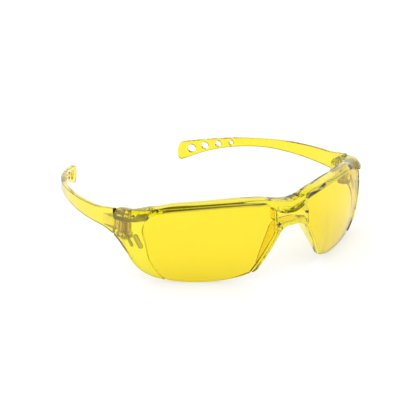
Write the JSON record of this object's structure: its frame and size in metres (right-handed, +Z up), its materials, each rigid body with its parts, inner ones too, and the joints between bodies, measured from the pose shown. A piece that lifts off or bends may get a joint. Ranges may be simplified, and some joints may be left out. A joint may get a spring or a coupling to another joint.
{
  "type": "safety glasses",
  "caption": "Amber wraparound safety glasses: half-rim front with two seated lenses, grooved side shields and two folding temples.",
  "frame": {"origin": "on the surface the glasses stand on, under the middle of the whole object", "axes": "+X to the wearer's left, +Y from the lenses back towards the ears, +Z up; the lens edges are at z = 0 and the temple tips 3 mm above it"},
  "size_m": [0.1472, 0.1545, 0.0422],
  "materials": {
    "frame": "clear amber moulded polycarbonate, polished",
    "lens": "clear amber polycarbonate, polished, hard coated",
    "temple": "clear amber moulded polycarbonate, polished",
    "pin": "amber moulded plastic"
  },
  "bodies": {
    "front": {"frame_front": "frame", "lens_left": "lens", "lens_right": "lens", "hinge_pin_left": "pin", "hinge_pin_right": "pin"},
    "temple_left": {"temple_left": "temple"},
    "temple_right": {"temple_right": "temple"}
  },
  "joints": [
    {"name": "fold_left", "type": "hinge", "parent": "front", "child": "temple_left", "pos_m": [0.067, -0.0308, 0.0253], "axis": [0, 0, 1], "range_deg": [0, 80]},
    {"name": "fold_right", "type": "hinge", "parent": "front", "child": "temple_right", "pos_m": [-0.067, -0.0308, 0.0253], "axis": [0, 0, -1], "range_deg": [0, 70]}
  ]
}
